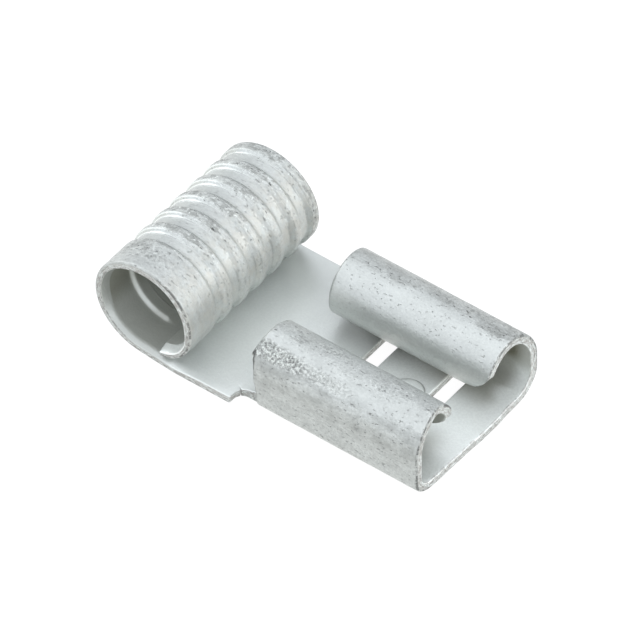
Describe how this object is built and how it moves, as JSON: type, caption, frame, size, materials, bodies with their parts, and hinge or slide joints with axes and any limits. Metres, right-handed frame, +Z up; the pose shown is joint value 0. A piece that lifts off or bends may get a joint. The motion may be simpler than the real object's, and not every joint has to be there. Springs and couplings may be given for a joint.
{
  "type": "female spade terminal",
  "caption": "Flag-type female spade terminal folded from one sheet: a receptacle of rolled walls grips a flat tab and a ribbed barrel takes the wire.",
  "frame": {"origin": "middle of the length and width, on the flat underside of the receptacle and tongue", "axes": "+X out of the receptacle's mouth, the way the mating tab leaves; +Y along the wire barrel, away from its plain end; +Z up, the way the walls and barrel stand"},
  "size_m": [0.0152, 0.0082, 0.0048],
  "materials": {
    "tin": "matte tin plating on rolled brass sheet, with bare sheared edges"
  },
  "bodies": {
    "root": {"terminal": "tin"}
  },
  "joints": []
}
